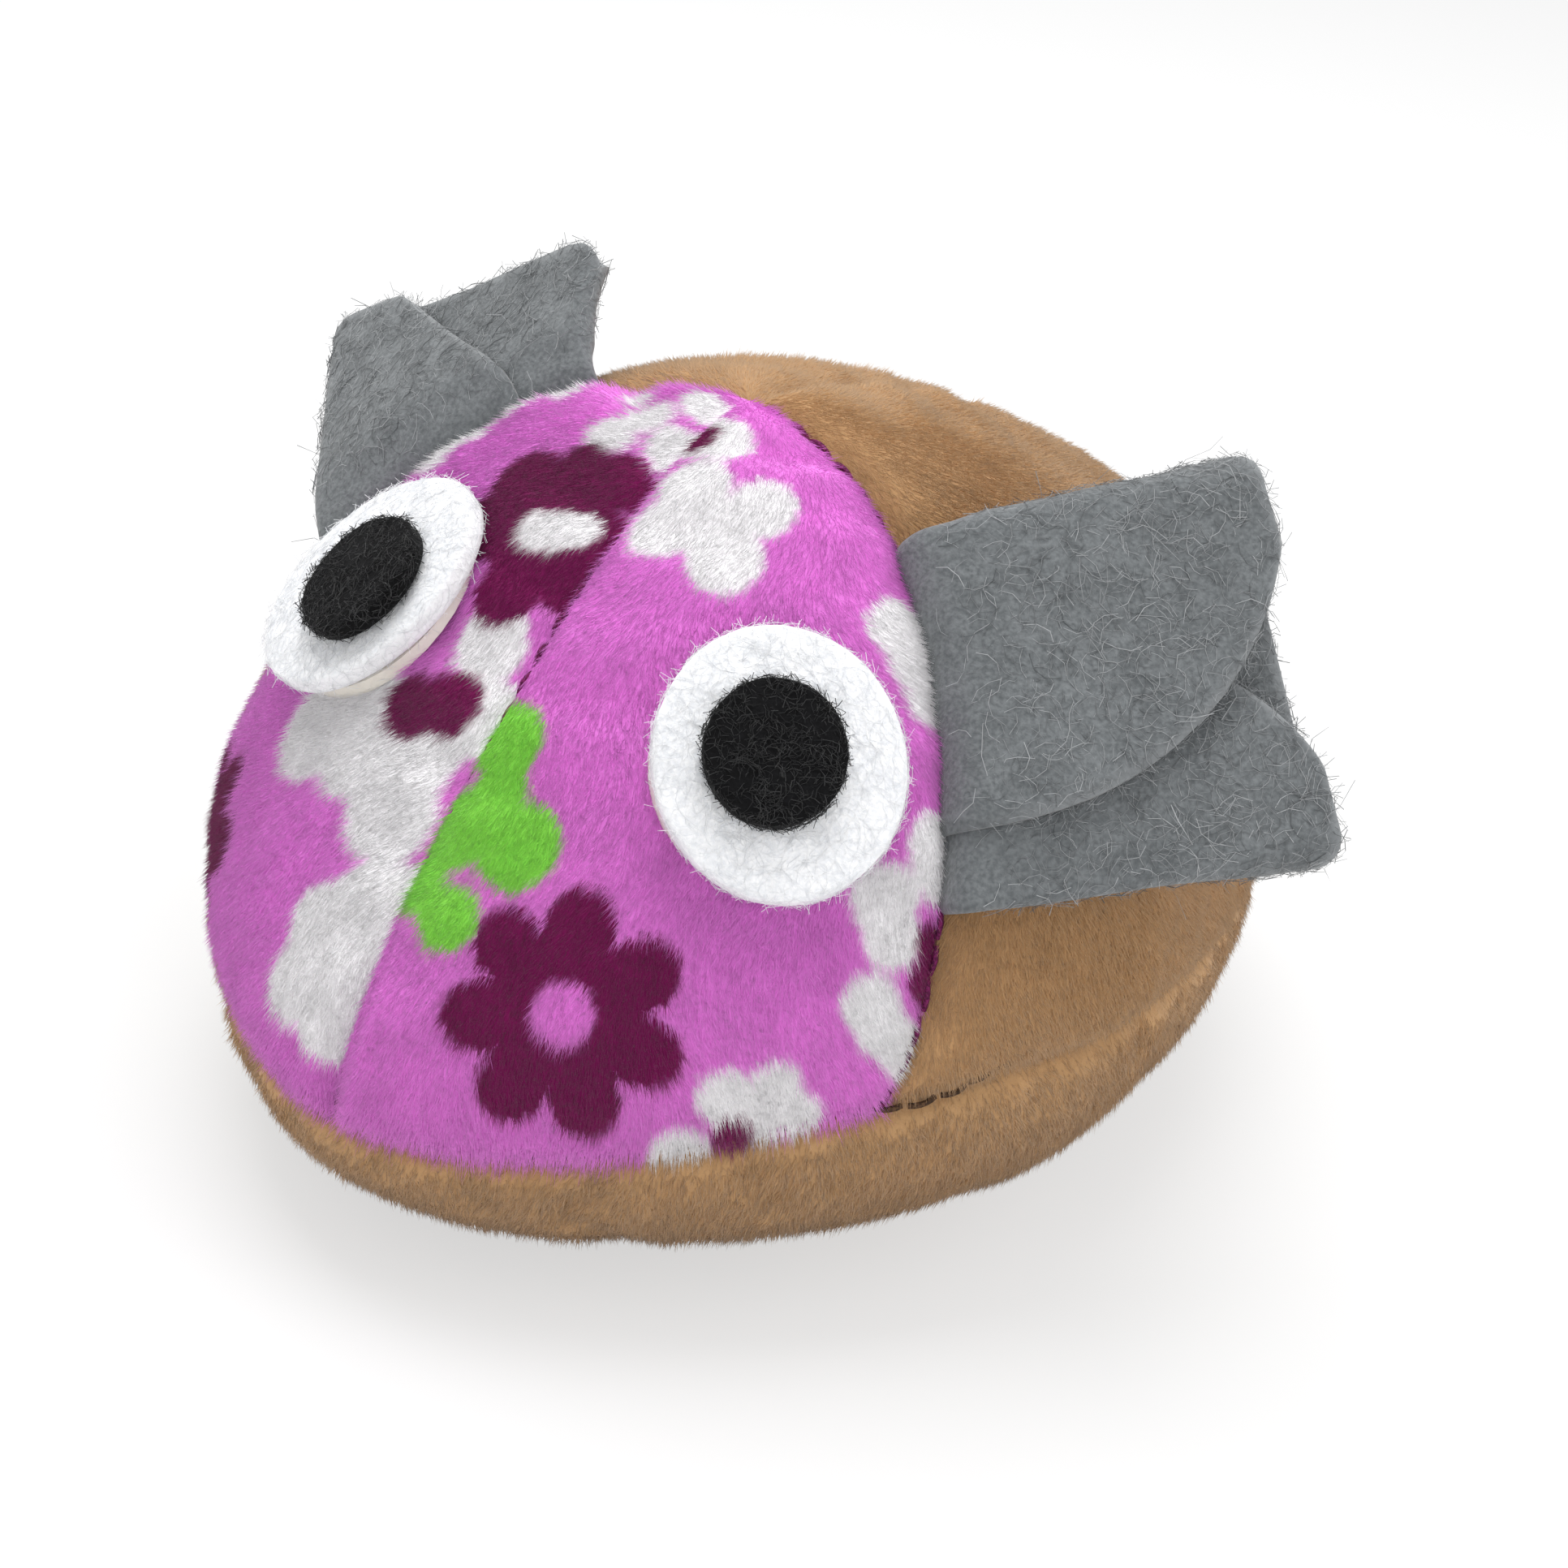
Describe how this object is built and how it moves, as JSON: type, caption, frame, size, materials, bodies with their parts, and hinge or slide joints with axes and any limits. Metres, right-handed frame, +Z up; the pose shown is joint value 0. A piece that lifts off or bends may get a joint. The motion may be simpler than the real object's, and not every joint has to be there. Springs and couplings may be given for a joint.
{
  "type": "plush mouse cat toy",
  "caption": "Stuffed plush mouse toy for cats: a rounded sewn body with a floral face, brown sides and base, folded felt ears that flex on the neck seam and felt disc eyes.",
  "frame": {"origin": "on the floor under the body, at the middle of its length and width, on the base's flat", "axes": "+Z up; the nose points to -Y and the toy's left side is +X"},
  "size_m": [0.1038, 0.1113, 0.0686],
  "materials": {
    "floral_plush": "short pile",
    "brown_plush": "short pile",
    "fibre_filling": "loose fibre",
    "plum_thread": "twisted thread",
    "brown_thread": "twisted thread",
    "grey_felt": "matte felt",
    "white_felt": "matte felt",
    "black_felt": "matte felt",
    "glue": "dried glue"
  },
  "bodies": {
    "body": {"face_panel_left": "floral_plush", "face_panel_right": "floral_plush", "side_panel_left": "brown_plush", "side_panel_right": "brown_plush", "base_panel": "brown_plush", "stuffing": "fibre_filling", "face_centre_thread": "plum_thread", "neck_thread_left": "plum_thread", "neck_thread_right": "plum_thread", "back_centre_thread": "brown_thread", "base_thread": "brown_thread", "ear_root_left": "grey_felt", "ear_root_right": "grey_felt", "eye_white_left": "white_felt", "eye_white_right": "white_felt", "eye_glue_left": "glue", "eye_glue_right": "glue", "pupil_left": "black_felt", "pupil_right": "black_felt"},
    "left_ear": {"ear_left": "grey_felt"},
    "right_ear": {"ear_right": "grey_felt"}
  },
  "joints": [
    {"name": "left_ear_flex", "type": "hinge", "parent": "body", "child": "left_ear", "pos_m": [0.0282, -0.02213, 0.04797], "axis": [0.5329, -0.3944, -0.7486], "range_deg": [-8, 60], "stiffness_Nm_per_rad": 0.006},
    {"name": "right_ear_flex", "type": "hinge", "parent": "body", "child": "right_ear", "pos_m": [-0.02491, -0.01995, 0.05219], "axis": [0.6249, 0.3634, 0.691], "range_deg": [-8, 60], "stiffness_Nm_per_rad": 0.006}
  ]
}
